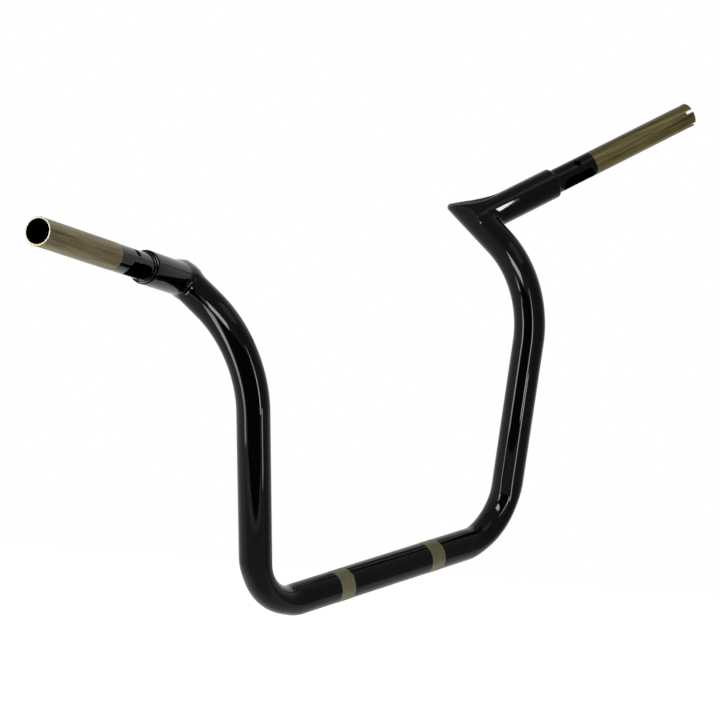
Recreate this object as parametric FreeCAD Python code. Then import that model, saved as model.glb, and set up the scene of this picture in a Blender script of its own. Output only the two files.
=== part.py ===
import FreeCAD, Part
import math
import os
from FreeCAD import Vector

# Motorcycle handlebar: a welded bar of bent steel tube, in millimetres.
# Origin: middle of the straight base, on its axis. +X rider's right, +Y forward, +Z up.
# The lower risers stand in the XZ plane. The two sides mirror each other in the plane X = 0,
# apart from the sleeve lengths, the wiring cuts and the throttle end.

# Tubing
main_tube_diameter = 31.75
main_tube_wall = 3.05
grip_tube_diameter = 25.4
grip_tube_wall = 2.1

# Bent main tube, from corner to corner of its axis
base_half_length = 177.0
riser_flare = 25.7
riser_height = 264.7
crook_out = 5.8
crook_forward = 87.8
crook_rise = 44.6
lower_bend_radius = 61.8
upper_bend_radius = 102.8
lower_bend_flattening = 0.87
bend_run_in = 0.25
bend_stations = 13

# Grip axis, from the joint where it meets the riser's axis
grip_reach = 273.0
grip_sweep_deg = 16.4
grip_rise_deg = 20.9

# Swooping cut of the riser's end: an arc that runs out into the top of the sleeve
swoop_radius = 113.0
swoop_runout = 27.7
swoop_roll_deg = 46.5
tip_plug_depth = 10.0
tip_rounding = 4.0

# Sleeve of main tubing, coped to the riser
sleeve_reach = {"right": 94.0, "left": 80.0}
sleeve_ear_trim = 3.0
sleeve_end_rounding = 1.8

# Grip tube, plugged into its sleeve
spigot_depth = 45.0
spigot_relief = 0.2

# Welds
joint_weld_leg = 8.0
joint_weld_crown = 0.5
joint_weld_end_deg = 25.0
joint_weld_stations = 9
collar_weld_leg = 1.8
collar_weld_width = 1.2

# Wiring cuts: distances along the grip from the joint, angles round it from the riser's side
slot_start = {"right": 100.0, "left": 83.0}
slot_angle_deg = {"right": 180.0, "left": 187.0}
slot_length = 41.0
slot_width = 16.4
slot_end_sagitta = 5.0
locating_hole_diameter = 8.0
locating_hole_reach = {"right": 125.4, "left": 110.7}
locating_hole_angle_deg = {"right": 86.0, "left": 101.0}
wire_port_diameter = 18.0
wire_exit_length = 32.0
wire_exit_width = 12.7

# Throttle end, on the right only
notch_depth = 8.0
narrow_notch_width = 3.1
narrow_notch_angle_deg = 112.0
wide_notch_width = 5.3
wide_notch_angle_deg = 192.0

main_radius = main_tube_diameter / 2
bore_radius = main_radius - main_tube_wall
grip_radius = grip_tube_diameter / 2
grip_bore_radius = grip_radius - grip_tube_wall
spigot_radius = grip_radius - spigot_relief
clear_of_part = 20 * main_radius


def unit(vector):
    return vector * (1 / vector.Length)


def across(vector, axis):
    """The part of a vector that is square to a unit axis."""
    return vector - axis * vector.dot(axis)


def mirrored(shape):
    return shape.mirror(Vector(0, 0, 0), Vector(1, 0, 0))


# Corners of the right arm's axis
base_middle = Vector(0, 0, 0)
lower_corner = Vector(base_half_length, 0, 0)
upper_corner = lower_corner + Vector(riser_flare, 0, riser_height)
joint = upper_corner + Vector(crook_out, crook_forward, crook_rise)

# Directions at the joint: along the riser, along the grip, and square to the grip
riser_way = unit(joint - upper_corner)
grip_level = math.cos(math.radians(grip_rise_deg))
grip_way = Vector(
    grip_level * math.cos(math.radians(grip_sweep_deg)),
    -grip_level * math.sin(math.radians(grip_sweep_deg)),
    math.sin(math.radians(grip_rise_deg)),
)
riser_side = unit(across(riser_way, grip_way))
rear_side = grip_way.cross(riser_side)
swoop_roll = math.radians(swoop_roll_deg)
swoop_way = riser_side * math.cos(swoop_roll) + rear_side * math.sin(swoop_roll)


def round_grip(angle_deg):
    """Unit vector square to the grip, turned from the riser's side towards the rear."""
    angle = math.radians(angle_deg)
    return riser_side * math.cos(angle) + rear_side * math.sin(angle)


class Bend:
    """A tangent arc of the tube's axis at a corner between two straight runs."""

    def __init__(self, before, corner, after, radius):
        way_in = unit(corner - before)
        way_out = unit(after - corner)
        self.turn = way_in.getAngle(way_out)
        tangent_length = radius * math.tan(self.turn / 2)
        self.start = corner - way_in * tangent_length
        self.end = corner + way_out * tangent_length
        self.way_in = way_in
        inward = unit(way_out - way_in)
        self.centre = corner + inward * (radius / math.cos(self.turn / 2))
        self.axis = unit(way_in.cross(way_out))
        self.outward = unit(self.start - self.centre)
        self.radius = radius

    def round_solid(self, tube_radius):
        section = Part.Face(Part.Wire(Part.makeCircle(tube_radius, self.start, self.way_in)))
        return section.revolve(self.centre, self.axis, math.degrees(self.turn))

    def flattened_solid(self, tube_radius, wall):
        """Bend whose section flattens towards the bend's plane and is round at both ends."""
        sections = []
        for station in range(bend_stations):
            share = station / (bend_stations - 1)
            ease = min(1, min(share, 1 - share) / bend_run_in)
            ease = ease * ease * (3 - 2 * ease)
            flattening = 1 + (lower_bend_flattening - 1) * ease
            outward = FreeCAD.Rotation(self.axis, math.degrees(self.turn) * share).multVec(self.outward)
            middle = self.centre + outward * self.radius
            half_height = outward * (tube_radius * flattening - wall)
            half_width = self.axis * (tube_radius - wall)
            sections.append(oval(middle, half_height, half_width))
        return Part.makeLoft(sections, True, False)


def oval(middle, half_height, half_width):
    """Closed oval wire about a point, from its two half axes."""
    square = unit(half_height.cross(half_width))
    ring = Part.Circle(Vector(0, 0, 0), Vector(0, 0, 1), 1).toShape()
    place = FreeCAD.Matrix(
        half_height.x, half_width.x, square.x, middle.x,
        half_height.y, half_width.y, square.y, middle.y,
        half_height.z, half_width.z, square.z, middle.z,
        0, 0, 0, 1,
    )
    return Part.Wire([ring.transformGeometry(place)])


def straight_run(start, end, radius):
    return Part.makeCylinder(radius, (end - start).Length, start, end - start)


lower_bend = Bend(base_middle, lower_corner, upper_corner, lower_bend_radius)
upper_bend = Bend(lower_corner, upper_corner, joint, upper_bend_radius)
swoop_rise = swoop_radius - math.sqrt(swoop_radius ** 2 - (swoop_runout + main_radius) ** 2)
riser_overrun = (main_radius * (1 + math.sin(swoop_roll)) + swoop_rise) / math.cos(swoop_roll)
riser_overrun = riser_overrun + main_radius
riser_end = joint + riser_way * riser_overrun


def swoop_block(depth):
    """Everything above the swooping cut, or above a surface that lies deeper by the given depth."""

    def at(along, above):
        return joint + grip_way * along + swoop_way * above - across_way * clear_of_part

    across_way = grip_way.cross(swoop_way)
    floor = main_radius - depth
    arc_radius = swoop_radius + depth
    arc_centre_height = main_radius + swoop_radius
    arc_reach = min(swoop_runout + 3 * main_radius, 0.95 * arc_radius)

    def arc_point(share):
        back = arc_reach * share
        return at(swoop_runout - back, arc_centre_height - math.sqrt(arc_radius ** 2 - back ** 2))

    run_out = at(clear_of_part, floor)
    arc_start = at(swoop_runout, floor)
    arc_end = arc_point(1)
    top_back = at(swoop_runout - arc_reach, clear_of_part)
    top_front = at(clear_of_part, clear_of_part)
    outline = Part.Wire([
        Part.LineSegment(run_out, arc_start).toShape(),
        Part.Arc(arc_start, arc_point(0.5), arc_end).toShape(),
        Part.LineSegment(arc_end, top_back).toShape(),
        Part.LineSegment(top_back, top_front).toShape(),
        Part.LineSegment(top_front, run_out).toShape(),
    ])
    return Part.Face(outline).extrude(across_way * (2 * clear_of_part))


def bent_bar(wall):
    """The bar's outside, or its bore where a wall is taken off, running past both joints."""
    radius = main_radius - wall
    arm = [
        lower_bend.flattened_solid(main_radius, wall),
        straight_run(lower_bend.end, upper_bend.start, radius),
        upper_bend.round_solid(radius),
        straight_run(upper_bend.end, riser_end, radius),
    ]
    base = straight_run(lower_bend.start * -1, lower_bend.start, radius)
    pieces = arm + [mirrored(piece) for piece in arm]
    return base.multiFuse(pieces).removeSplitter()


def wire_exit_cut():
    """Slot with round ends through the underside of the base."""
    half_run = (wire_exit_length - wire_exit_width) / 2
    radius = wire_exit_width / 2
    down = Vector(0, 0, -1)
    ends = [Part.makeCylinder(radius, clear_of_part, Vector(side * half_run, 0, 0), down) for side in (-1, 1)]
    corner = Vector(-half_run, -radius, -clear_of_part)
    middle = Part.makeBox(2 * half_run, wire_exit_width, clear_of_part, corner)
    return middle.multiFuse(ends)


def main_tube():
    tube = bent_bar(0).cut(bent_bar(main_tube_wall))
    port = straight_run(joint, joint + grip_way * 2 * main_radius, wire_port_diameter / 2)
    end_cut = swoop_block(tip_plug_depth)
    cuts = [end_cut, mirrored(end_cut), port, mirrored(port), wire_exit_cut()]
    for cut in cuts:
        tube = tube.cut(cut)
    return tube


riser_bar = straight_run(upper_bend.end, riser_end, main_radius)


def tip_plug():
    """Solid end of the riser, from the swooping cut down to the end of the tube's wall."""
    plug = riser_bar.common(swoop_block(tip_plug_depth)).cut(swoop_block(0))
    swoop_faces = [face for face in plug.Faces if face.Surface.TypeId == "Part::GeomCylinder"
                   and abs(face.Surface.Radius - swoop_radius) < 0.5 * tip_plug_depth]
    rim = [edge for face in swoop_faces for edge in face.Edges]
    return plug.makeFillet(min(tip_rounding, 0.45 * tip_plug_depth), rim)


def turned(outline):
    """Ring turned about the grip axis from a closed outline of (along, radius) points."""
    points = [joint + grip_way * along + riser_side * radius for along, radius in outline]
    wire = Part.makePolygon(points + points[:1])
    return Part.Face(wire).revolve(joint, grip_way, 360)


def sleeve(side):
    end = sleeve_reach[side]
    rounding = min(sleeve_end_rounding, 0.6 * main_tube_wall)
    tube = turned([
        (sleeve_ear_trim, bore_radius),
        (sleeve_ear_trim, main_radius),
        (end, main_radius),
        (end, bore_radius),
    ])
    end_point = joint + grip_way * end
    rim = [edge for edge in tube.Edges
           if edge.Curve.TypeId == "Part::GeomCircle"
           and abs(edge.Curve.Radius - main_radius) < 1e-6
           and edge.Curve.Center.isEqual(end_point, 1e-6)]
    return tube.makeFillet(rounding, rim).cut(riser_bar)


def radial_prism(outline, angle_deg):
    """Cutter that runs out from the grip axis, over a closed list of edges in (along, across)."""
    out = round_grip(angle_deg)
    return Part.Face(Part.Wire(outline)).extrude(out * clear_of_part)


def wiring_slot(side):
    """Long slot: a full round at the sleeve's end, a flatter arc at the far end."""
    cross_way = round_grip(slot_angle_deg[side] + 90)

    def at(along, over):
        return joint + grip_way * (slot_start[side] + along) + cross_way * over

    half = slot_width / 2
    shoulder = slot_length - slot_end_sagitta
    return radial_prism([
        Part.Arc(at(half, -half), at(0, 0), at(half, half)).toShape(),
        Part.LineSegment(at(half, half), at(shoulder, half)).toShape(),
        Part.Arc(at(shoulder, half), at(slot_length, 0), at(shoulder, -half)).toShape(),
        Part.LineSegment(at(shoulder, -half), at(half, -half)).toShape(),
    ], slot_angle_deg[side])


def locating_hole(side):
    start = joint + grip_way * locating_hole_reach[side]
    end = start + round_grip(locating_hole_angle_deg[side]) * clear_of_part
    return straight_run(start, end, locating_hole_diameter / 2)


def end_notch(width, angle_deg):
    """Square notch right across the tube's end, so that it cuts both walls."""
    over = round_grip(angle_deg + 90)
    through = round_grip(angle_deg)
    corner = joint + grip_way * (grip_reach - notch_depth) - over * (width / 2) - through * clear_of_part
    floor = Part.makePolygon([corner, corner + over * width,
                              corner + over * width + grip_way * clear_of_part,
                              corner + grip_way * clear_of_part, corner])
    return Part.Face(floor).extrude(through * (2 * clear_of_part))


def grip_tube(side):
    weld_toe = sleeve_reach[side] + collar_weld_leg
    tube = turned([
        (sleeve_reach[side] - spigot_depth, grip_bore_radius),
        (sleeve_reach[side] - spigot_depth, spigot_radius),
        (weld_toe, spigot_radius),
        (weld_toe, grip_radius),
        (grip_reach, grip_radius),
        (grip_reach, grip_bore_radius),
    ])
    cuts = [wiring_slot(side), locating_hole(side)]
    if side == "right":
        cuts.append(end_notch(narrow_notch_width, narrow_notch_angle_deg))
        cuts.append(end_notch(wide_notch_width, wide_notch_angle_deg))
    for cut in cuts:
        tube = tube.cut(cut)
    return tube


def collar_weld(side):
    """Fillet weld in the corner between the sleeve's end face and the grip tube."""
    end = sleeve_reach[side]
    return turned([
        (end, spigot_radius),
        (end, grip_radius + collar_weld_width),
        (end + collar_weld_leg, grip_radius),
        (end + collar_weld_leg, spigot_radius),
    ])


def joint_weld_section(bisector, half_angle, turn):
    """Section of the fillet weld where the two tubes' walls cross, at a turn from the rear side."""
    reach = main_radius / math.sin(half_angle)
    corner = joint + rear_side * (main_radius * math.cos(turn)) + bisector * (reach * math.sin(turn))
    path = unit(rear_side * (-main_radius * math.sin(turn)) + bisector * (reach * math.cos(turn)))
    riser_normal = unit(across(corner - joint, riser_way))
    sleeve_normal = unit(across(corner - joint, grip_way))
    up_riser = riser_normal.cross(path)
    if up_riser.dot(sleeve_normal) < 0:
        up_riser = up_riser * -1
    up_sleeve = sleeve_normal.cross(path)
    if up_sleeve.dot(riser_normal) < 0:
        up_sleeve = up_sleeve * -1
    size = math.sin(turn)
    leg = joint_weld_leg * size
    sink = joint_weld_crown * size
    half_corner = up_riser.getAngle(up_sleeve) / 2
    throat = leg / math.cos(half_corner) - leg * math.tan(half_corner)
    on_riser = corner + up_riser * leg - riser_normal * sink
    on_sleeve = corner + up_sleeve * leg - sleeve_normal * sink
    face_middle = corner + unit(up_riser + up_sleeve) * (throat + sink)
    root = corner - (riser_normal + sleeve_normal) * sink
    return Part.Wire([
        Part.LineSegment(root, on_riser).toShape(),
        Part.Arc(on_riser, face_middle, on_sleeve).toShape(),
        Part.LineSegment(on_sleeve, root).toShape(),
    ])


def joint_weld_run(bisector, first_deg):
    half_angle = bisector.getAngle(grip_way)
    sweep_deg = 180 - joint_weld_end_deg - first_deg
    sections = []
    for station in range(joint_weld_stations):
        turn_deg = first_deg + sweep_deg * station / (joint_weld_stations - 1)
        sections.append(joint_weld_section(bisector, half_angle, math.radians(turn_deg)))
    run = Part.makeLoft(sections, True, False)
    sleeve_bar = straight_run(joint, joint + grip_way * grip_reach, main_radius)
    return run.cut(riser_bar).cut(sleeve_bar)


def joint_weld():
    """Fillet welds between riser and sleeve: under the sleeve, and in front of the tip above it."""
    under = joint_weld_run(unit(grip_way - riser_way), joint_weld_end_deg)
    above = joint_weld_run(unit(grip_way + riser_way), 90)
    above = above.cut(swoop_block(tip_rounding))
    return Part.makeCompound([solid for run in (under, above) for solid in run.Solids])


os.makedirs("parts", exist_ok=True)
nodes = {"main_tube": main_tube()}
for side in ("right", "left"):
    pieces = {
        "tip_plug": tip_plug(),
        "sleeve": sleeve(side),
        "grip_tube": grip_tube(side),
        "collar_weld": collar_weld(side),
        "joint_weld": joint_weld(),
    }
    for name, shape in pieces.items():
        nodes[side + "_" + name] = mirrored(shape) if side == "left" else shape
for name, shape in nodes.items():
    shape.exportStep("parts/" + name + ".step")
    print(name, shape.isValid(), len(shape.Solids), round(shape.Volume, 1))
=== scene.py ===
import itertools
import math

import bmesh
import bpy
import numpy as np
from mathutils import Matrix, Vector
from mathutils.geometry import delaunay_2d_cdt


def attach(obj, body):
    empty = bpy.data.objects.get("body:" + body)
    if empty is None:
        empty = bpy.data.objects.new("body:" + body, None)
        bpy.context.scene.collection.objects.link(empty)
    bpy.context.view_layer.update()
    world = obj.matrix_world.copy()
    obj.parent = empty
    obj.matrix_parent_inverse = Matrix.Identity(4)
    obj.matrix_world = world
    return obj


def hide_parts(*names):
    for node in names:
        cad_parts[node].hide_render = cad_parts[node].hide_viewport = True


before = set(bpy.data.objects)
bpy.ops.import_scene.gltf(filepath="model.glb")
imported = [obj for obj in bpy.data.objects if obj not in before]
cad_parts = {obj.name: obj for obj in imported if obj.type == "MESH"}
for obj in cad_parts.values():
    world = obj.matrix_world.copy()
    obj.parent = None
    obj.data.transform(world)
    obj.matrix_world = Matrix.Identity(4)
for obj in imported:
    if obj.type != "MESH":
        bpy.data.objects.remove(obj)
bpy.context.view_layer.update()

# Main tube
# One length of 1 1/4 inch steel tube, bent cold into a base, two risers and two crooks, with lower
# bends that the bender left a little flat. It is powder coated after welding, apart from two bands
# on the base that were masked with tape, where the clamps earth it. Sizes here are in millimetres.
mm = 0.001
tube_radius = 15.875
tube_bore = 12.825
base_middle = Vector((0.0, 0.0, 0.0))
lower_corner = Vector((177.0, 0.0, 0.0))
upper_corner = Vector((202.7, 0.0, 264.7))
joint = Vector((208.5, 87.8, 309.3))
lower_bend_radius = 61.8
upper_bend_radius = 102.8
lower_flattening = 0.87
flattening_run_in = 0.25
riser_way = (joint - upper_corner).normalized()
riser_seam = 30.0
ring_points = 120
lower_stations = 44
upper_stations = 34
full_turn = 2 * math.pi
wire_exit_length = 32.0
wire_exit_width = 12.7
wire_exit_angle = full_turn
cut_edge = 0.35
slot_arc_points = 14
base_row_steps = 12
base_seam = 0.75 * full_turn
grid_crowding = 0.3
flat_touch = 1e-5
seam_merge = 0.002
crease_angle = math.radians(35)
coat_finish = 0
sides = {"right": 1, "left": -1}


def bent_axis(before, corner, after, radius, stations):
    """Places along a tangent arc at a corner, with the turn that brings a section to each."""
    way_in = (corner - before).normalized()
    way_out = (after - corner).normalized()
    turn = way_in.angle(way_out)
    start = corner - way_in * (radius * math.tan(turn / 2))
    centre = corner + (way_out - way_in).normalized() * (radius / math.cos(turn / 2))
    axis = way_in.cross(way_out).normalized()
    for station in range(stations + 1):
        share = station / stations
        spin = Matrix.Rotation(turn * share, 3, axis)
        yield centre + spin @ (start - centre), spin, share


def arm_sections():
    """Sections of the right arm as (middle, height way, width way, flattening)."""
    height_way = Vector((0, 0, -1))
    width_way = Vector((0, -1, 0))
    sections = []
    for place, spin, share in bent_axis(base_middle, lower_corner, upper_corner,
                                        lower_bend_radius, lower_stations):
        ease = min(1, min(share, 1 - share) / flattening_run_in)
        ease = ease * ease * (3 - 2 * ease)
        flattening = 1 + (lower_flattening - 1) * ease
        sections.append((place, spin @ height_way, spin @ width_way, flattening))
    _, height_way, width_way, _ = sections[-1]
    for place, spin, _ in bent_axis(lower_corner, upper_corner, joint,
                                    upper_bend_radius, upper_stations):
        sections.append((place, spin @ height_way, spin @ width_way, 1.0))
    _, height_way, width_way, _ = sections[-1]
    sections.append((joint - riser_way * riser_seam, height_way, width_way, 1.0))
    return sections


def section_ring(section, wall, mirror):
    """Points round one section, in by the given wall, on the right or mirrored to the left."""
    middle, height_way, width_way, flattening = section
    ring = []
    for step in range(ring_points):
        turn = full_turn * step / ring_points
        point = (middle + height_way * ((tube_radius * flattening - wall) * math.cos(turn))
                 + width_way * ((tube_radius - wall) * math.sin(turn)))
        ring.append(Vector((point.x * mirror, point.y, point.z)))
    return ring


def new_shell():
    """Empty set of points and faces, with a finish for each face."""
    return {"points": [], "faces": [], "finishes": []}


def add_points(shell, points):
    """Adds points to a shell and returns their numbers in it."""
    first = len(shell["points"])
    shell["points"].extend(points)
    return list(range(first, first + len(points)))


def add_strip(shell, loop, next_loop, finish):
    """Quads between two closed loops that have as many points each."""
    first = add_points(shell, loop)
    second = add_points(shell, next_loop)
    for a in range(len(loop)):
        b = (a + 1) % len(loop)
        shell["faces"].append((first[a], first[b], second[b], second[a]))
        shell["finishes"].append(finish)


def inside(loop, spots):
    """Which of the flat spots lie inside a closed loop."""
    within = np.zeros(len(spots), bool)
    for (x0, y0), (x1, y1) in zip(loop, loop[1:] + loop[:1]):
        if y0 != y1:
            passes = (spots[:, 1] < y0) != (spots[:, 1] < y1)
            within ^= passes & (spots[:, 0] < x0 + (spots[:, 1] - y0) * (x1 - x0) / (y1 - y0))
    return within


def add_wall(shell, place, radius, near, far, holes, rows, finish_at):
    """One pierced wall of a tube, in triangles between two border lines of (along, angle) and its holes."""
    seam = near[0][1]
    seam_out = [(row, seam + full_turn) for row in rows]
    seam_back = [(row, seam) for row in rows[::-1]]
    border = near + seam_out + far[::-1] + seam_back
    loops = [[(along, angle * radius) for along, angle in loop] for loop in [border] + holes]
    spots = [spot for loop in loops for spot in loop]
    edges = []
    for loop in loops:
        first = len(edges)
        edges += [(first + k, first + (k + 1) % len(loop)) for k in range(len(loop))]
    grid = np.array([(row, (seam + full_turn * k / ring_points) * radius)
                     for row in rows for k in range(1, ring_points)])
    gaps = np.min(np.linalg.norm(grid[:, None] - np.array(spots)[None], axis=2), axis=1)
    keep = inside(loops[0], grid) & (gaps > grid_crowding * full_turn * radius / ring_points)
    for hole in loops[1:]:
        keep &= ~inside(hole, grid)
    spots += [tuple(spot) for spot in grid[keep]]
    corners = [Vector(spot) for spot in spots]
    flat, _, triangles, _, _, _ = delaunay_2d_cdt(corners, edges, [], 0, flat_touch)
    flat = np.array(flat)
    middles = flat[np.array(triangles)].mean(axis=1)
    keep = inside(loops[0], middles)
    for hole in loops[1:]:
        keep &= ~inside(hole, middles)
    index = add_points(shell, [place(along, radius, over / radius) for along, over in flat])
    for triangle, (along, _), kept in zip(triangles, middles, keep):
        if kept:
            shell["faces"].append(tuple(index[k] for k in triangle))
            shell["finishes"].append(finish_at(along))


def slot_loop(start, length, width, far_height):
    """Loop of (along, across) with a half round at its start and an arc of the given height at its end."""
    half = width / 2
    far_radius = (half ** 2 + far_height ** 2) / (2 * far_height)
    far_centre = start + length - far_radius
    spread = math.asin(min(1, half / far_radius))
    loop = []
    for step in range(slot_arc_points):
        turn = math.pi / 2 + math.pi * step / slot_arc_points
        loop.append((start + half + half * math.cos(turn), half * math.sin(turn)))
    if length > width:
        loop.append((start + half, -half))
    for step in range(slot_arc_points):
        turn = spread * (2 * step / slot_arc_points - 1)
        loop.append((far_centre + far_radius * math.cos(turn), far_radius * math.sin(turn)))
    if length > width:
        loop.append((far_centre + far_radius * math.cos(spread), half))
    return loop


def add_cut(shell, place, levels, loop_at, angle, finish):
    """Walls of a cut square through the tube, eased at both faces. Returns its loops on the two faces."""
    flats = []
    for grow, radius in levels:
        flats.append([(along, angle + math.asin(over / radius)) for along, over in loop_at(grow)])
    for step in range(len(levels) - 1):
        rings = [[place(along, levels[k][1], turn) for along, turn in flats[k]] for k in (step, step + 1)]
        add_strip(shell, rings[0], rings[1], finish)
    return flats[0], flats[-1]


def eased_levels(outer, bore):
    """From the outside to the bore: how far a cut's edge stands back, and at which radius."""
    return [(cut_edge, outer), (0, outer - cut_edge), (0, bore + cut_edge), (cut_edge, bore)]


def plain_border(along, seam):
    """Line of (along, angle) once round a tube, from its seam."""
    return [(along, seam + full_turn * step / ring_points) for step in range(ring_points + 1)]


def make_piece(name, shell, materials):
    """Mesh object in metres from a shell in millimetres, with welded seams and faces that look out."""
    solid = bmesh.new()
    corners = [solid.verts.new(point * mm) for point in shell["points"]]
    for face, finish in zip(shell["faces"], shell["finishes"]):
        new_face = solid.faces.new([corners[k] for k in face])
        new_face.material_index = finish
        new_face.smooth = True
    bmesh.ops.remove_doubles(solid, verts=solid.verts, dist=seam_merge * mm)
    bmesh.ops.recalc_face_normals(solid, faces=solid.faces)
    mesh = bpy.data.meshes.new(name)
    solid.to_mesh(mesh)
    solid.free()
    mesh.set_sharp_from_angle(angle=crease_angle)
    for material in materials:
        mesh.materials.append(material)
    piece = bpy.data.objects.new(name, mesh)
    bpy.context.scene.collection.objects.link(piece)
    return piece


def linear(hex_colour):
    """Linear RGBA from an sRGB hex colour."""
    channels = [int(hex_colour[k:k + 2], 16) / 255 for k in (1, 3, 5)]
    return [c / 12.92 if c <= 0.04045 else ((c + 0.055) / 1.055) ** 2.4 for c in channels] + [1.0]


def add_node(tree, kind, settings, links):
    """Adds a node, sets its properties and input values, and links its inputs to (node, output)."""
    node = tree.nodes.new(kind)
    for name, value in settings.items():
        if isinstance(name, str) and name in node.bl_rna.properties:
            setattr(node, name, value)
        else:
            node.inputs[name].default_value = value
    for name, (source, output) in links.items():
        tree.links.new(source.outputs[output], node.inputs[name])
    return node


def new_tree(owner):
    """Empty node tree of a material or a world."""
    owner.use_nodes = True
    owner.node_tree.nodes.clear()
    return owner.node_tree


# Gloss black polyester powder coat, baked on: a deep black with a wet gloss, a faint orange peel of
# a millimetre or two, and hardly any colour of its own. The bare bands are mild steel from under the
# tape: a dull olive grey with a fine mottle and ragged edges.
coat_colours = ("#010201", "#030403")
coat_roughness = (0.03, 0.06)
coat_ior = 1.5
coat_specular = 0.155
coat_tint = (0.95, 1.0, 0.97, 1.0)
coat_cloud = 45.0
coat_cloud_detail = 3.0
coat_cloud_span = (0.3, 0.7)
orange_peel = 2.2
orange_peel_detail = 1.0
orange_peel_depth = 0.012
orange_peel_strength = 0.25
band_steel_colours = ("#65624a", "#827e63")
band_middle = 65.5
band_half_width = 9.5
band_ragged_size = 5.0
band_ragged_detail = 4.0
band_ragged_depth = 2.2
band_grain = 6.0
band_grain_detail = 5.0
steel_roughness = (0.34, 0.5)
# Sockets of a mix node, where names repeat
first_number = 2
second_number = 3
first_colour = 6
second_colour = 7
mixed_colour = 2


def coat_nodes(tree, place):
    """Colour, roughness and bump of the coat, over a coordinate in metres."""
    cloud = add_node(tree, "ShaderNodeTexNoise",
                     {"Scale": 1 / (coat_cloud * mm), "Detail": coat_cloud_detail}, {"Vector": place})
    colour = add_node(tree, "ShaderNodeMix",
                      {"data_type": "RGBA", first_colour: linear(coat_colours[0]),
                       second_colour: linear(coat_colours[1])}, {0: (cloud, 0)})
    gloss = add_node(tree, "ShaderNodeMapRange",
                     {"From Min": coat_cloud_span[0], "From Max": coat_cloud_span[1],
                      "To Min": coat_roughness[0], "To Max": coat_roughness[1]}, {"Value": (cloud, 0)})
    peel = add_node(tree, "ShaderNodeTexNoise",
                    {"Scale": 1 / (orange_peel * mm), "Detail": orange_peel_detail}, {"Vector": place})
    bump = add_node(tree, "ShaderNodeBump",
                    {"Strength": orange_peel_strength, "Distance": orange_peel_depth * mm},
                    {"Height": (peel, 0)})
    return (colour, mixed_colour), (gloss, 0), (bump, 0)


def powder_coat(name, banded):
    """The coat, with the two bare bands of the base where it is banded."""
    material = bpy.data.materials.new(name)
    tree = new_tree(material)
    place = (add_node(tree, "ShaderNodeTexCoord", {}, {}), "Object")
    colour, gloss, bump = coat_nodes(tree, place)
    links = {"Base Color": colour, "Roughness": gloss, "Normal": bump}
    if banded:
        apart = add_node(tree, "ShaderNodeSeparateXYZ", {}, {0: place})
        across = add_node(tree, "ShaderNodeMath", {"operation": "ABSOLUTE"}, {0: (apart, 0)})
        off_middle = add_node(tree, "ShaderNodeMath", {"operation": "SUBTRACT", 1: band_middle * mm},
                              {0: (across, 0)})
        off_band = add_node(tree, "ShaderNodeMath", {"operation": "ABSOLUTE"}, {0: (off_middle, 0)})
        ragged = add_node(tree, "ShaderNodeTexNoise",
                          {"Scale": 1 / (band_ragged_size * mm), "Detail": band_ragged_detail},
                          {"Vector": place})
        shift = add_node(tree, "ShaderNodeMath",
                         {"operation": "MULTIPLY_ADD", 1: band_ragged_depth * mm,
                          2: -band_ragged_depth / 2 * mm}, {0: (ragged, 0)})
        edge = add_node(tree, "ShaderNodeMath", {"operation": "ADD"}, {0: (off_band, 0), 1: (shift, 0)})
        bare = add_node(tree, "ShaderNodeMath", {"operation": "LESS_THAN", 1: band_half_width * mm},
                        {0: (edge, 0)})
        grain = add_node(tree, "ShaderNodeTexNoise",
                         {"Scale": 1 / (band_grain * mm), "Detail": band_grain_detail}, {"Vector": place})
        steel = add_node(tree, "ShaderNodeMix",
                         {"data_type": "RGBA", first_colour: linear(band_steel_colours[0]),
                          second_colour: linear(band_steel_colours[1])}, {0: (grain, 0)})
        both = add_node(tree, "ShaderNodeMix", {"data_type": "RGBA"},
                        {0: (bare, 0), first_colour: colour, second_colour: (steel, mixed_colour)})
        rough = add_node(tree, "ShaderNodeMix", {"data_type": "FLOAT", second_number: steel_roughness[1]},
                         {0: (bare, 0), first_number: gloss})
        links.update({"Base Color": (both, mixed_colour), "Roughness": (rough, 0), "Metallic": (bare, 0)})
    shader = add_node(tree, "ShaderNodeBsdfPrincipled",
                      {"IOR": coat_ior, "Specular IOR Level": coat_specular, "Specular Tint": coat_tint},
                      links)
    add_node(tree, "ShaderNodeOutputMaterial", {}, {"Surface": (shader, 0)})
    return material


banded_coat = powder_coat("black_powder_coat_masked", True)
black_coat = powder_coat("black_powder_coat", False)


def base_place(along, radius, angle):
    """Place on the base, where the angle starts underneath."""
    return Vector((along, -radius * math.sin(angle), -radius * math.cos(angle)))


bar = new_shell()
arm = arm_sections()
base_end = arm[0][0].x
base_rows = [-base_end + base_end * step / base_row_steps for step in range(1, 2 * base_row_steps)]
exit_loops = add_cut(
    bar, base_place, eased_levels(tube_radius, tube_bore),
    lambda grow: slot_loop(-wire_exit_length / 2 - grow, wire_exit_length + 2 * grow,
                           wire_exit_width + 2 * grow, wire_exit_width / 2 + grow),
    wire_exit_angle, coat_finish)
for radius, exit_loop in zip((tube_radius, tube_bore), exit_loops):
    add_wall(bar, base_place, radius, plain_border(-base_end, base_seam), plain_border(base_end, base_seam),
             [exit_loop], base_rows, lambda along: coat_finish)
tube_wall = tube_radius - tube_bore
for mirror in sides.values():
    for wall in (0, tube_wall):
        for section, next_section in zip(arm, arm[1:]):
            add_strip(bar, section_ring(section, wall, mirror), section_ring(next_section, wall, mirror),
                      coat_finish)
    add_strip(bar, section_ring(arm[-1], 0, mirror), section_ring(arm[-1], tube_wall, mirror), coat_finish)
main_tube = make_piece("coated_main_tube", bar, [banded_coat])
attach(main_tube, "root")
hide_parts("main_tube")

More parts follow.
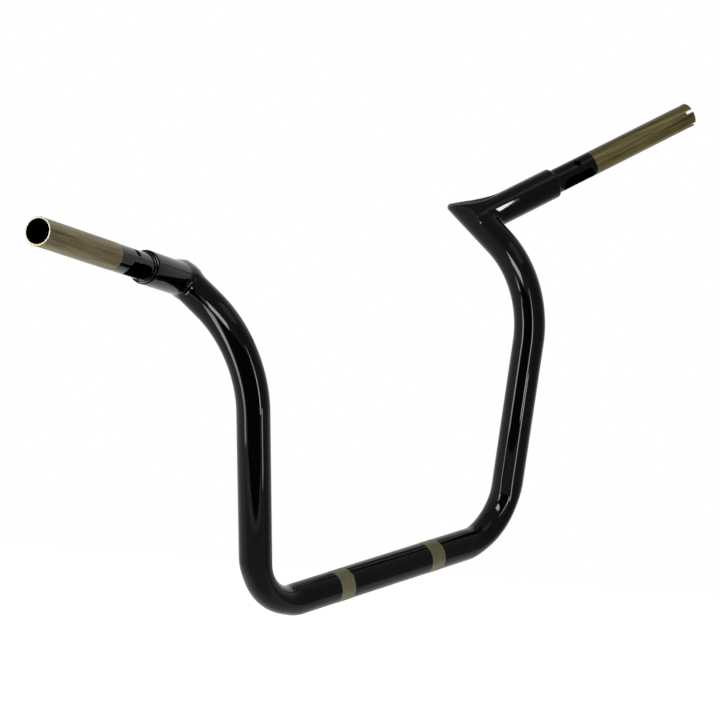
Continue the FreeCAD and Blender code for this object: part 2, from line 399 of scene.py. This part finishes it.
# Riser ends
# Each riser ends in a solid tip, cut in one swoop that runs out into the top of the sleeve, with its rim
# rounded over. The sleeve is coped to the riser and fillet welded to it, and the coat covers it all.
grip_sweep = math.radians(16.4)
grip_rise = math.radians(20.9)
grip_way = Vector((math.cos(grip_rise) * math.cos(grip_sweep), -math.cos(grip_rise) * math.sin(grip_sweep),
                   math.sin(grip_rise)))
riser_side = (riser_way - grip_way * riser_way.dot(grip_way)).normalized()
rear_side = grip_way.cross(riser_side)
swoop_radius = 113.0
swoop_runout = 27.7
swoop_roll = math.radians(46.5)
swoop_way = riser_side * math.cos(swoop_roll) + rear_side * math.sin(swoop_roll)
longest_swoop = 0.9
rim_rounding = 4.0
sharpest_lean = 0.98
weld_size = 5.0
weld_growth = 20.0
weld_growth_power = 3
weld_ripple = 0.10
weld_ripple_power = 2
weld_ripples = 15
sleeve_start = 6.0
sleeve_seam = 45.0
tip_top = 54.0
skin_step = 0.8
skin_margin = 3.0
least_radius = 1e-6
slope_step = 0.01
settling_rounds = 4
plane_snap = 1e-4


def smooth_max(a, b, blend):
    """Larger of two distances, rounded over where they are less than the blend apart."""
    reach = np.maximum(blend - np.abs(a - b), 0)
    return np.maximum(a, b) + reach ** 2 / (4 * blend)


def from_axis(spots, way):
    """Distance along and square to an axis through the joint."""
    along = spots @ np.array(way)
    return along, np.sqrt(np.maximum((spots ** 2).sum(axis=-1) - along ** 2, 0))


def rolled_corner(first, second, lean, rounding):
    """Distance from a corner of two faces with a rounded edge. Lean is the cosine between their normals."""
    first = first + rounding
    second = second + rounding
    lean = np.clip(lean, -sharpest_lean, sharpest_lean)
    off_edge = (first ** 2 + second ** 2 - 2 * first * second * lean) / (1 - lean ** 2)
    on_edge = (first > lean * second) & (second > lean * first) & ((first > 0) | (second > 0))
    return np.where(on_edge, np.sqrt(np.maximum(off_edge, 0)), np.maximum(first, second)) - rounding


def riser_end(spots):
    """Signed distance, near the surface, from the welded riser end at spots given from the joint."""
    up, off_riser = from_axis(spots, riser_way)
    along, off_grip = from_axis(spots, grip_way)
    back = np.clip(swoop_runout - along, 0, longest_swoop * swoop_radius) / swoop_radius
    level = np.sqrt(1 - back ** 2)
    height = spots @ np.array(swoop_way)
    above = (height - tube_radius - swoop_radius * (1 - level)) * level
    cut_normal = np.array(swoop_way) * level[..., None] + np.array(grip_way) * back[..., None]
    turn = np.arctan2(spots @ np.array(rear_side), spots @ np.array(riser_side))
    over = (1 + np.cos(turn)) / 2
    ahead = np.clip(along / tube_radius, 0, 1)
    weld = weld_size + weld_growth * ahead * over ** weld_growth_power
    weld = weld * (1 + weld_ripple * (1 - over) ** weld_ripple_power * np.sin(weld_ripples * turn))
    riser = off_riser - tube_radius
    sleeve = np.maximum(off_grip - tube_radius, -along - sleeve_start)
    joined = -smooth_max(-riser, -sleeve, weld)
    riser_spoke = spots - up[..., None] * np.array(riser_way)
    riser_spoke = riser_spoke / np.maximum(off_riser, least_radius)[..., None]
    grip_spoke = spots - along[..., None] * np.array(grip_way)
    grip_spoke = grip_spoke / np.maximum(off_grip, least_radius)[..., None]
    share = np.clip(0.5 + (riser - sleeve) / (2 * weld), 0, 1)[..., None]
    lean = (cut_normal * (riser_spoke * (1 - share) + grip_spoke * share)).sum(axis=-1)
    return np.minimum(rolled_corner(joined, above, lean, rim_rounding), sleeve)


def field_slope(field, spots):
    """Slope of a field along x, y and z."""
    offsets = np.eye(3) * slope_step
    slope = np.stack([field(spots + offset) - field(spots - offset) for offset in offsets], axis=-1)
    return slope / (2 * slope_step)


def skin_over(field, low, high, ways):
    """Points and quads over the zero surface of a field, one point in each grid cell that it crosses."""
    axes = [np.arange(start, end, skin_step) for start, end in zip(low, high)]
    grid = np.stack(np.meshgrid(*axes, indexing="ij"), axis=-1) @ np.array(ways)
    value = field(grid)
    cells = tuple(count - 1 for count in value.shape)

    def corner(array, offset):
        """Values at the same corner of every cell."""
        return array[tuple(slice(start, start + count) for start, count in zip(offset, cells))]

    total = np.zeros(cells + (3,))
    hits = np.zeros(cells, int)
    for offset in itertools.product((0, 1), repeat=3):
        for axis in range(3):
            if offset[axis] == 0:
                ahead = tuple(offset[k] + (k == axis) for k in range(3))
                here = corner(value, offset)
                there = corner(value, ahead)
                crosses = (here < 0) != (there < 0)
                share = np.where(crosses, here / np.where(crosses, here - there, 1), 0)[..., None]
                spot = corner(grid, offset) * (1 - share) + corner(grid, ahead) * share
                total += np.where(crosses[..., None], spot, 0)
                hits += crosses
    used = hits > 0
    number = np.full(cells, -1)
    number[used] = np.arange(used.sum())
    points = total[used] / hits[used][:, None]
    quads = []
    for axis in range(3):
        first, second = np.eye(3, dtype=int)[[(axis + 1) % 3, (axis + 2) % 3]]
        inner = tuple(slice(None, -1) if k == axis else slice(1, -1) for k in range(3))
        ahead = tuple(slice(1, None) if k == axis else slice(1, -1) for k in range(3))
        found = np.argwhere((value[inner] < 0) != (value[ahead] < 0)) + first + second
        around = []
        for over, up in ((0, 0), (1, 0), (1, 1), (0, 1)):
            cell = found - first * over - second * up
            around.append(number[tuple(cell.T)])
        quads.append(np.stack(around, axis=1))
    for _ in range(settling_rounds):
        slope = field_slope(field, points)
        points = points - slope * (field(points) / (slope ** 2).sum(axis=1))[:, None]
    return points, np.concatenate(quads)


local_ways = np.array([grip_way, rear_side, riser_side])
end_points, end_quads = skin_over(
    riser_end, (-tube_radius - skin_margin, -tube_radius - skin_margin, -riser_seam - skin_margin),
    (sleeve_seam + skin_margin, tube_radius + skin_margin, tip_top), local_ways)


def cut_flat(solid, place, way):
    """Cuts a mesh off at a plane and leaves the cut open."""
    everything = solid.verts[:] + solid.edges[:] + solid.faces[:]
    bmesh.ops.bisect_plane(solid, geom=everything, dist=plane_snap, plane_co=place, plane_no=way,
                           clear_outer=True)


for side, mirror in sides.items():
    solid = bmesh.new()
    corners = [solid.verts.new(point) for point in end_points]
    for quad in end_quads:
        solid.faces.new([corners[k] for k in quad])
    cut_flat(solid, -riser_way * riser_seam, -riser_way)
    cut_flat(solid, grip_way * sleeve_seam, grip_way)
    bmesh.ops.holes_fill(solid, edges=[edge for edge in solid.edges if edge.is_boundary], sides=0)
    slope = field_slope(riser_end, np.array([vert.co for vert in solid.verts]))
    slope /= np.linalg.norm(slope, axis=1)[:, None]
    slope[:, 0] *= mirror
    place = Matrix.Diagonal((mirror * mm, mm, mm, 1)) @ Matrix.Translation(joint)
    bmesh.ops.transform(solid, matrix=place, verts=solid.verts)
    bmesh.ops.recalc_face_normals(solid, faces=solid.faces)
    for face in solid.faces:
        face.smooth = True
    mesh = bpy.data.meshes.new(side + "_riser_end")
    solid.to_mesh(mesh)
    solid.free()
    mesh.normals_split_custom_set_from_vertices(slope.tolist())
    mesh.materials.append(black_coat)
    riser_tip = bpy.data.objects.new(side + "_riser_end", mesh)
    bpy.context.scene.collection.objects.link(riser_tip)
    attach(riser_tip, "root")
    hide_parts(side + "_tip_plug", side + "_joint_weld")

# Sleeves
# Short stubs of the main tubing that carry the grip tubes. The outer corner of each end is rounded, and
# a ring of weld closes the step down to the grip tube. They are coated with the bar.
sleeve_reach = {"right": 94.0, "left": 80.0}
sleeve_rounding = 1.8
collar_width = 1.2
collar_leg = 1.8
grip_radius = 12.7
grip_bore = 10.6
slip_gap = 0.02
rounding_steps = 8


def grip_place(mirror):
    """Function that turns (along, radius, angle) round a grip axis into a place on that side."""

    def place(along, radius, angle):
        point = (joint + grip_way * along + riser_side * (radius * math.cos(angle))
                 + rear_side * (radius * math.sin(angle)))
        return Vector((point.x * mirror, point.y, point.z))

    return place


def sleeve_profile(reach):
    """Half section of the sleeve's end and its weld ring, as (along, radius)."""
    profile = [(sleeve_seam, tube_radius)]
    for step in range(rounding_steps + 1):
        turn = math.pi / 2 * step / rounding_steps
        profile.append((reach - sleeve_rounding * (1 - math.sin(turn)),
                        tube_radius - sleeve_rounding * (1 - math.cos(turn))))
    for step in range(rounding_steps + 1):
        turn = math.pi / 2 * step / rounding_steps
        profile.append((reach + collar_leg * math.sin(turn), grip_radius + collar_width * math.cos(turn)))
    profile.append((reach + collar_leg, grip_radius + slip_gap))
    profile.append((sleeve_seam, grip_radius + slip_gap))
    return profile


for side, mirror in sides.items():
    place = grip_place(mirror)
    shell = new_shell()
    profile = sleeve_profile(sleeve_reach[side])
    rings = [[place(along, radius, full_turn * step / ring_points) for step in range(ring_points)]
             for along, radius in profile]
    for ring, next_ring in zip(rings, rings[1:] + rings[:1]):
        add_strip(shell, ring, next_ring, coat_finish)
    sleeve = make_piece(side + "_sleeve_end", shell, [black_coat])
    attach(sleeve, "root")
    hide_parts(side + "_sleeve", side + "_collar_weld")

# Grip tubes
# Lengths of 1 inch drawn tube, plugged into the sleeves. Each has a long slot for the switch wires and a
# locating hole, and is masked from the coat over its outer part. The right end has notches for the throttle.
grip_reach = 273.0
spigot_depth = 45.0
coat_limit = 143.5
grip_seam = math.radians(45)
slot_start = {"right": 100.0, "left": 83.0}
slot_angle = {"right": math.radians(180), "left": math.radians(187)}
slot_length = 41.0
slot_width = 16.4
slot_far_height = 5.0
locating_hole_diameter = 8.0
locating_hole_reach = {"right": 125.4, "left": 110.7}
locating_hole_angle = {"right": math.radians(86), "left": math.radians(101)}
notch_depth = 8.0
# Notches as (angle in degrees, width)
notches = {"right": [(112, 3.1), (192, 5.3), (292, 3.1), (372, 5.3)], "left": []}
bore_bevel = 0.7
row_spacing = 4.0
steel_finish = 1
cut_finish = 2

# Mild steel tube as drawn and dulled by handling: an olive grey, dragged lengthwise by the die. Where a
# saw cut it, the rim is paler and duller.
grip_steel_colours = ("#4a4127", "#867a54")
streak_length = 60.0
streak_width = 1.6
streak_detail = 5.0
streak_span = (0.32, 0.68)
streak_depth = 0.01
streak_strength = 0.3
cut_steel_colours = ("#7a745c", "#9a937a")
cut_steel_roughness = (0.4, 0.55)


def drawn_steel(name, colours, roughness):
    """Steel with streaks along the tube, over the grip_space coordinates of the mesh."""
    material = bpy.data.materials.new(name)
    tree = new_tree(material)
    space = add_node(tree, "ShaderNodeAttribute", {"attribute_name": "grip_space"}, {})
    stretch = (1 / (streak_length * mm), 1 / (streak_width * mm), 1 / (streak_width * mm))
    drawn = add_node(tree, "ShaderNodeMapping", {"Scale": stretch}, {"Vector": (space, "Vector")})
    streaks = add_node(tree, "ShaderNodeTexNoise", {"Scale": 1.0, "Detail": streak_detail},
                       {"Vector": (drawn, 0)})
    spread = add_node(tree, "ShaderNodeMapRange",
                      {"From Min": streak_span[0], "From Max": streak_span[1]}, {"Value": (streaks, 0)})
    colour = add_node(tree, "ShaderNodeMix",
                      {"data_type": "RGBA", first_colour: linear(colours[0]),
                       second_colour: linear(colours[1])}, {0: (spread, 0)})
    rough = add_node(tree, "ShaderNodeMapRange", {"To Min": roughness[0], "To Max": roughness[1]},
                     {"Value": (streaks, 0)})
    bump = add_node(tree, "ShaderNodeBump",
                    {"Strength": streak_strength, "Distance": streak_depth * mm}, {"Height": (streaks, 0)})
    shader = add_node(tree, "ShaderNodeBsdfPrincipled", {"Metallic": 1.0},
                      {"Base Color": (colour, mixed_colour), "Roughness": (rough, 0), "Normal": (bump, 0)})
    add_node(tree, "ShaderNodeOutputMaterial", {}, {"Surface": (shader, 0)})
    return material


grip_steel = drawn_steel("drawn_mild_steel", grip_steel_colours, steel_roughness)
cut_steel = drawn_steel("saw_cut_steel", cut_steel_colours, cut_steel_roughness)


def end_border(cuts, grow, radius):
    """Line of (along, angle) round a tube's end that dips into each notch, stood back by grow."""
    line = []
    start = grip_seam
    last_middle = grip_seam
    for angle_deg, width in cuts:
        middle = math.radians(angle_deg)
        half = math.asin((width / 2 + grow) / radius)
        steps = round((middle - last_middle) / full_turn * ring_points)
        line += [(grip_reach - grow, start + (middle - half - start) * k / steps) for k in range(steps)]
        for along, over in ((0, -half), (notch_depth, -half), (notch_depth, 0), (notch_depth, half)):
            line.append((grip_reach - grow - along, middle + over))
        start = middle + half
        last_middle = middle
    end = grip_seam + full_turn
    steps = round((end - last_middle) / full_turn * ring_points)
    line += [(grip_reach - grow, start + (end - start) * k / steps) for k in range(steps + 1)]
    return line


for side, mirror in sides.items():
    place = grip_place(mirror)
    shell = new_shell()
    levels = eased_levels(grip_radius, grip_bore)
    slot_faces = add_cut(
        shell, place, levels,
        lambda grow: slot_loop(slot_start[side] - grow, slot_length + 2 * grow, slot_width + 2 * grow,
                               slot_far_height),
        slot_angle[side], coat_finish)
    hole_faces = add_cut(
        shell, place, levels,
        lambda grow: slot_loop(locating_hole_reach[side] - locating_hole_diameter / 2 - grow,
                               locating_hole_diameter + 2 * grow, locating_hole_diameter + 2 * grow,
                               locating_hole_diameter / 2 + grow),
        locating_hole_angle[side], coat_finish)
    # The eased inner edge of the end takes the black coat, which keeps the pale cut rim narrow and the mouth
    # of the bore dark.
    end_levels = levels[:2] + [(0, grip_bore + bore_bevel), (bore_bevel, grip_bore)]
    borders = [end_border(notches[side], grow, radius) for grow, radius in end_levels]
    rings = [[place(along, radius, turn) for along, turn in border[:-1]]
             for border, (_, radius) in zip(borders, end_levels)]
    for ring, next_ring, finish in zip(rings, rings[1:], (cut_finish, cut_finish, coat_finish)):
        add_strip(shell, ring, next_ring, finish)
    spigot_start = sleeve_reach[side] - spigot_depth
    row_count = round((grip_reach - notch_depth - spigot_start) / row_spacing)
    rows = [spigot_start + row_spacing * k for k in range(1, row_count)
            if abs(spigot_start + row_spacing * k - coat_limit) > row_spacing / 2]
    rows = sorted(rows + [coat_limit])
    near = plain_border(spigot_start, grip_seam)
    add_wall(shell, place, grip_radius, near, borders[0], [slot_faces[0], hole_faces[0]], rows,
             lambda along: coat_finish if along < coat_limit else steel_finish)
    # The bore takes the black coat along its whole length, so the inside of each grip tube renders dark.
    add_wall(shell, place, grip_bore, near, borders[-1], [slot_faces[1], hole_faces[1]], rows,
             lambda along: coat_finish)
    spigot_rings = [[place(along, radius, turn) for along, turn in near[:-1]]
                    for radius in (grip_radius, grip_bore)]
    add_strip(shell, spigot_rings[0], spigot_rings[1], coat_finish)
    grip = make_piece(side + "_grip", shell, [black_coat, grip_steel, cut_steel])
    spots = np.array([vert.co for vert in grip.data.vertices]) * (mirror, 1, 1) - np.array(joint) * mm
    grip_space = grip.data.attributes.new("grip_space", "FLOAT_VECTOR", "POINT")
    grip_space.data.foreach_set("vector", (spots @ local_ways.T).ravel())
    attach(grip, "root")
    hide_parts(side + "_grip_tube")

# Studio
# A white table well under the bar, in a white room with a darker ceiling and one darker side. A black card
# stands round the lens with a low white board before it, and a grey flag keeps the wall off the right tip.
# Soft lights hang high and overhead, and narrow ones draw the streaks on the coat. Sizes are in metres.
floor_height = -0.30
floor_half_width = 0.7
floor_front = 0.9
floor_back = -0.8
floor_colour = "#f8f8f6"
floor_lift = 0.3
camera_place = Vector((-2.060285, -1.812841, 1.038634))
camera_right = Vector((0.68368359, -0.72684712, 0.06534536))
camera_down = Vector((-0.1669235, -0.24291952, -0.95557661))
camera_forward = Vector((0.71043177, 0.64240436, -0.28740796))
camera_lens = 148.252
camera_reach = 100.0
sensor_width = 36.0
card_place = Vector((-0.604, -0.50, 0.27))
card_half_width = 0.65
card_half_height = 0.51
card_corner = 0.12
card_corner_steps = 8
card_colour = "#040404"
board_distance = 0.27
board_half_width = 0.35
board_top = 0.025
board_colour = "#f0f0ee"
flag_place = Vector((0.355, 0.224, 0.312))
flag_half_width = 0.09
flag_half_height = 0.05
flag_colour = "#4a4a4a"
ceiling_level = 0.4
ceiling_span = (0.35, 0.8)
dark_side = (0.5, -0.866, 0.0)
dark_side_level = 0.35
dark_side_span = (0.4, 0.9)


def flat_stage(name, outline, faces, material):
    """Flat piece of the studio, which isn't part of the bar."""
    mesh = bpy.data.meshes.new(name)
    mesh.from_pydata(outline, [], faces)
    mesh.materials.append(material)
    stage = bpy.data.objects.new(name, mesh)
    bpy.context.scene.collection.objects.link(stage)
    return stage


def matt(name, colour, lift=0.0):
    """Matt surface, which the camera and mirrors see lighter by the given lift."""
    material = bpy.data.materials.new(name)
    tree = new_tree(material)
    shader = add_node(tree, "ShaderNodeBsdfDiffuse", {"Color": linear(colour)}, {})
    if lift:
        path = add_node(tree, "ShaderNodeLightPath", {}, {})
        seen = add_node(tree, "ShaderNodeMath", {"operation": "MAXIMUM"},
                        {0: (path, "Is Camera Ray"), 1: (path, "Is Glossy Ray")})
        seen = add_node(tree, "ShaderNodeMath", {"operation": "MAXIMUM"},
                        {0: (seen, 0), 1: (path, "Is Transmission Ray")})
        lifted = add_node(tree, "ShaderNodeMath", {"operation": "MULTIPLY", 1: lift}, {0: (seen, 0)})
        glow = add_node(tree, "ShaderNodeEmission", {"Color": (1, 1, 1, 1)}, {"Strength": (lifted, 0)})
        shader = add_node(tree, "ShaderNodeAddShader", {}, {0: (shader, 0), 1: (glow, 0)})
    add_node(tree, "ShaderNodeOutputMaterial", {}, {"Surface": (shader, 0)})
    return material


to_camera = Vector((camera_place.x, camera_place.y, 0)).normalized()
sideways = Vector((-to_camera.y, to_camera.x, 0))
floor_corners = [to_camera * depth + sideways * width + Vector((0, 0, floor_height))
                 for depth, width in ((floor_front, -floor_half_width), (floor_front, floor_half_width),
                                      (floor_back, floor_half_width), (floor_back, -floor_half_width))]
flat_stage("floor", floor_corners, [(0, 1, 2, 3)], matt("white_floor", floor_colour, floor_lift))

board_corners = [to_camera * board_distance + sideways * (side * board_half_width) + Vector((0, 0, height))
                 for side, height in ((-1, floor_height), (1, floor_height), (1, board_top), (-1, board_top))]
low_board = flat_stage("low_board", board_corners, [(0, 1, 2, 3)], matt("white_board", board_colour))
low_board.visible_camera = False

card_way = -sideways
card_points = []
for quarter, (right, top) in enumerate(((1, 1), (-1, 1), (-1, -1), (1, -1))):
    for step in range(card_corner_steps + 1):
        turn = full_turn / 4 * (quarter + step / card_corner_steps)
        over = right * (card_half_width - card_corner) + card_corner * math.cos(turn)
        above = top * (card_half_height - card_corner) + card_corner * math.sin(turn)
        card_points.append(card_place + card_way * over + Vector((0, 0, above)))
lens_card = flat_stage("lens_card", card_points, [tuple(range(len(card_points)))],
                       matt("black_card", card_colour))
lens_card.visible_camera = False

flag_corners = [flag_place + sideways * (right * flag_half_width) + Vector((0, 0, top * flag_half_height))
                for right, top in ((-1, -1), (1, -1), (1, 1), (-1, 1))]
flag = flat_stage("flag", flag_corners, [(0, 1, 2, 3)], matt("grey_flag", flag_colour))
flag.visible_camera = False


def soft_light(name, place, aim, width, height, radiance, spread_deg):
    """Rectangular soft light that faces a point, with the radiance that is seen from there."""
    light = bpy.data.lights.new(name, "AREA")
    light.shape = "RECTANGLE"
    light.size = width
    light.size_y = height
    light.spread = math.radians(spread_deg)
    narrowing = 1 - light.spread / 2 / math.tan(light.spread / 2)
    light.energy = radiance * math.pi * width * height * narrowing
    lamp = bpy.data.objects.new(name, light)
    lamp.location = place
    lamp.rotation_euler = (Vector(aim) - Vector(place)).to_track_quat("-Z", "Y").to_euler()
    lamp.visible_camera = False
    bpy.context.scene.collection.objects.link(lamp)
    return lamp


soft_light("top_light", place=(-2.0, -0.5, 2.0), aim=(0, 0, 0.2),
           width=1.3, height=0.6, radiance=24.0, spread_deg=170)
soft_light("side_strip", place=(-0.90, 0.145, 0.19), aim=(0, 0, 0.19),
           width=0.16, height=0.78, radiance=21.0, spread_deg=90)
soft_light("front_strip", place=(-0.13, -0.62, 0.39), aim=(0, 0, 0.39),
           width=0.07, height=0.78, radiance=36.0, spread_deg=90)
soft_light("overhead_light", place=(0.25, -0.50, 1.75), aim=(0.25, -0.05, 0.35),
           width=0.9, height=0.6, radiance=0.9, spread_deg=170)

# This one lights the gloss of the right riser end alone, where it draws the white patch on the sleeve.
joint_light = soft_light("joint_light", place=(0.118, -0.826, 0.883), aim=(0.234, 0.075, 0.335),
                         width=0.26, height=0.575, radiance=72.0, spread_deg=140)
joint_light_roll = math.radians(10)
joint_light.rotation_euler.rotate_axis("Z", joint_light_roll)
right_joint = bpy.data.collections.new("right_joint")
right_joint.objects.link(bpy.data.objects["right_riser_end"])
joint_light.light_linking.receiver_collection = right_joint
joint_light.visible_diffuse = False
soft_light("low_strip", place=(0.0, -0.62, -0.03), aim=(0, 0, -0.03),
           width=0.08, height=0.18, radiance=28.0, spread_deg=90)

world = bpy.data.worlds.new("white_room")
bpy.context.scene.world = world
room_tree = new_tree(world)
toward = add_node(room_tree, "ShaderNodeTexCoord", {}, {})
height = add_node(room_tree, "ShaderNodeSeparateXYZ", {}, {0: (toward, "Generated")})
ceiling = add_node(room_tree, "ShaderNodeMapRange",
                   {"From Min": ceiling_span[0], "From Max": ceiling_span[1],
                    "To Min": 1.0, "To Max": ceiling_level}, {"Value": (height, "Z")})
sideward = add_node(room_tree, "ShaderNodeVectorMath", {"operation": "DOT_PRODUCT", 1: dark_side},
                    {0: (toward, "Generated")})
wall = add_node(room_tree, "ShaderNodeMapRange",
                {"From Min": dark_side_span[0], "From Max": dark_side_span[1],
                 "To Min": 1.0, "To Max": dark_side_level}, {"Value": (sideward, "Value")})
level = add_node(room_tree, "ShaderNodeMath", {"operation": "MULTIPLY"}, {0: (ceiling, 0), 1: (wall, 0)})
room = add_node(room_tree, "ShaderNodeBackground", {"Color": (1, 1, 1, 1)}, {"Strength": (level, 0)})
add_node(room_tree, "ShaderNodeOutputWorld", {}, {"Surface": (room, 0)})

camera_data = bpy.data.cameras.new("camera")
camera_data.lens = camera_lens
camera_data.sensor_width = sensor_width
camera_data.sensor_fit = "HORIZONTAL"
camera_data.clip_end = camera_reach
camera = bpy.data.objects.new("camera", camera_data)
turn = Matrix((camera_right, -camera_down, -camera_forward)).transposed()
camera.matrix_world = Matrix.Translation(camera_place) @ turn.to_4x4()
bpy.context.scene.collection.objects.link(camera)
bpy.context.scene.camera = camera
bpy.context.scene.view_settings.view_transform = "Standard"
